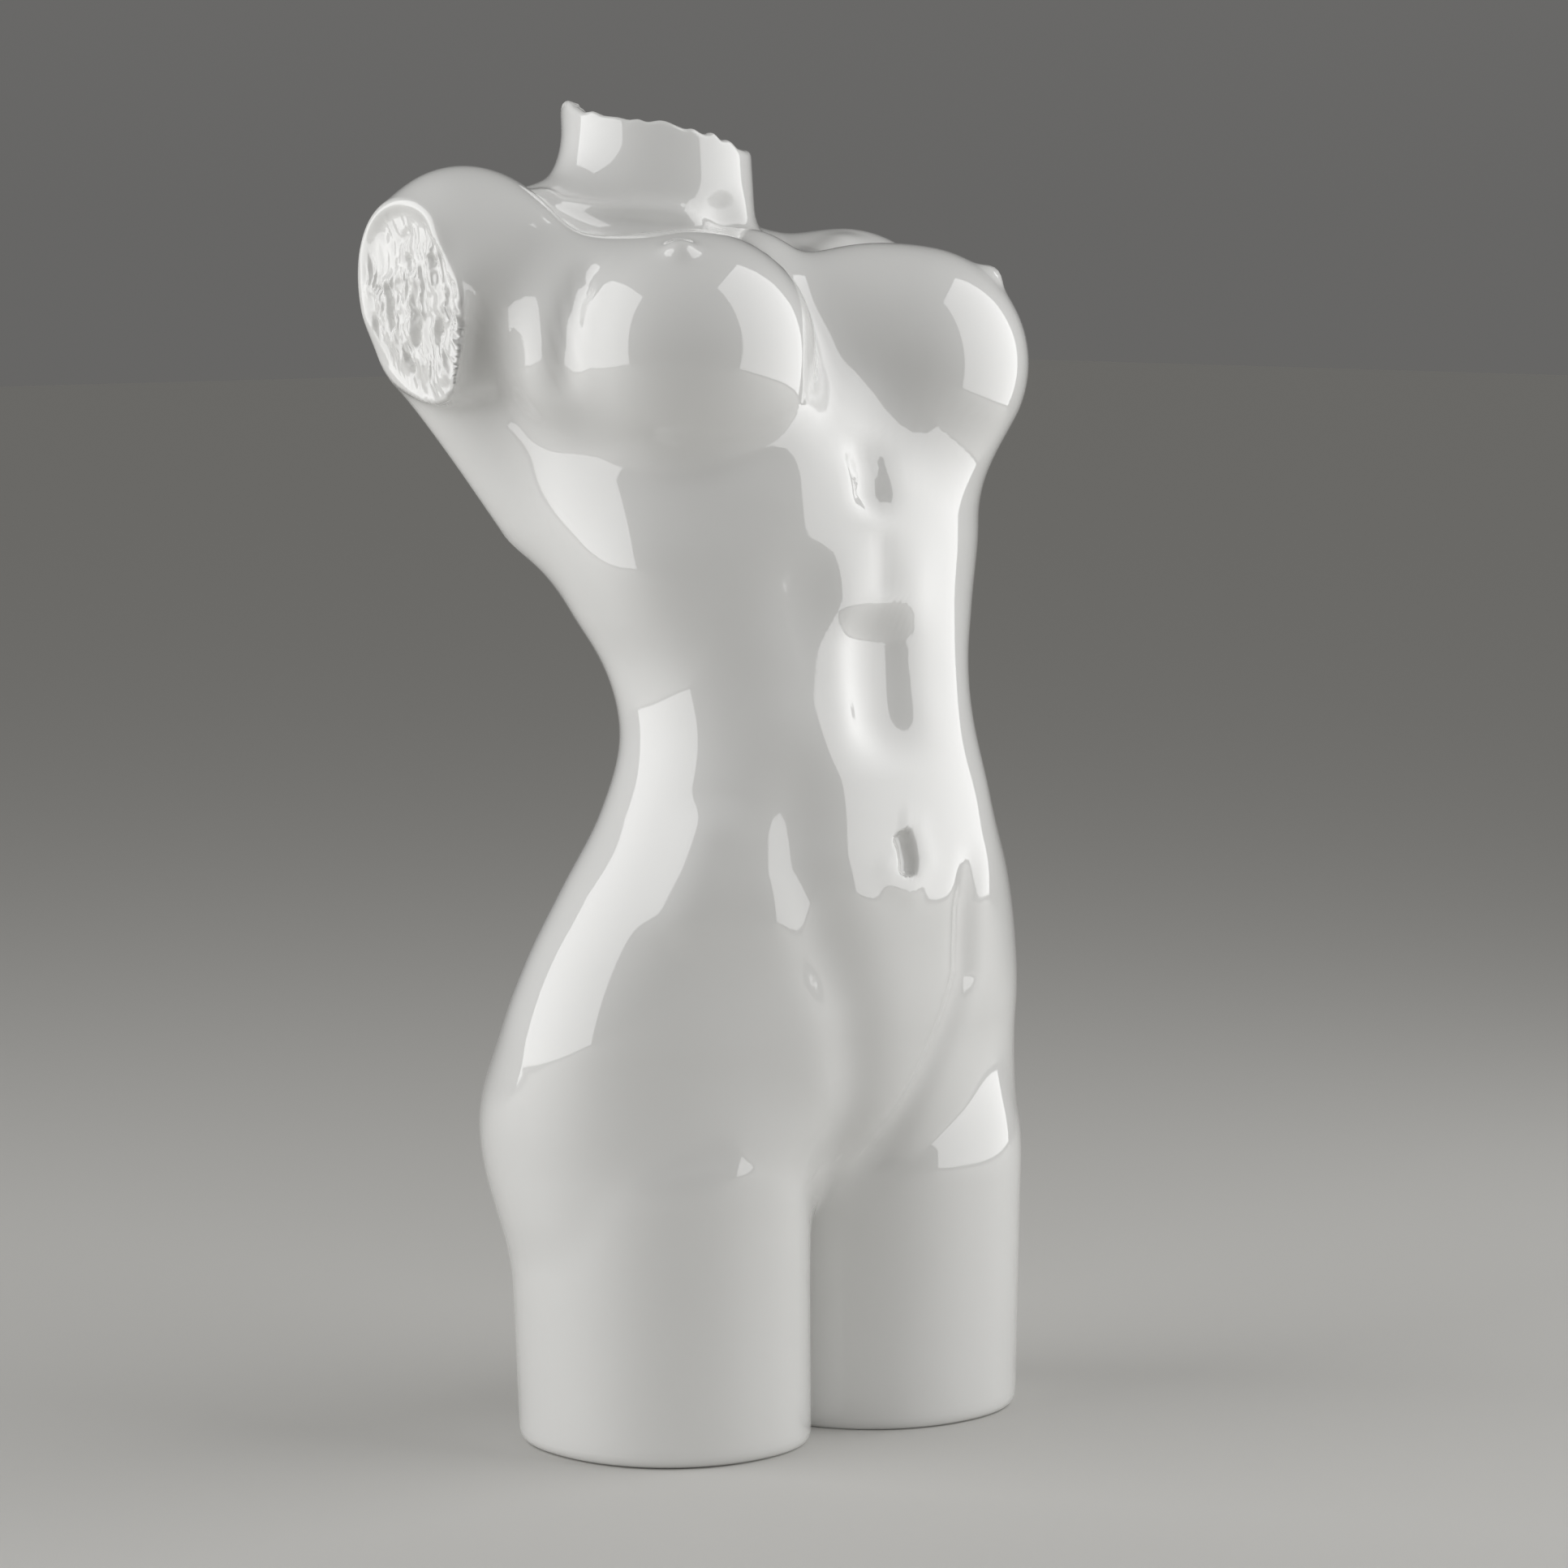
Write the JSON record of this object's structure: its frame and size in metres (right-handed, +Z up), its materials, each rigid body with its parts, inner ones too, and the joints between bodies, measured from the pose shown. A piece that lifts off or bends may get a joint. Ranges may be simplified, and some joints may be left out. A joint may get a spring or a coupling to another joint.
{
  "type": "female torso sculpture",
  "caption": "Glazed porcelain torso of a standing nude woman, broken off at the neck and both upper arms, standing on its level cut thighs.",
  "frame": {"origin": "on the flat underside, on the web where the two thighs touch", "axes": "+Z up from the underside to the neck, -Y out of the figure's front, +X to the figure's left"},
  "size_m": [0.1612, 0.1011, 0.293],
  "materials": {
    "glazed_porcelain": "high gloss clear glaze over white porcelain"
  },
  "bodies": {
    "root": {"torso": "glazed_porcelain"}
  },
  "joints": []
}
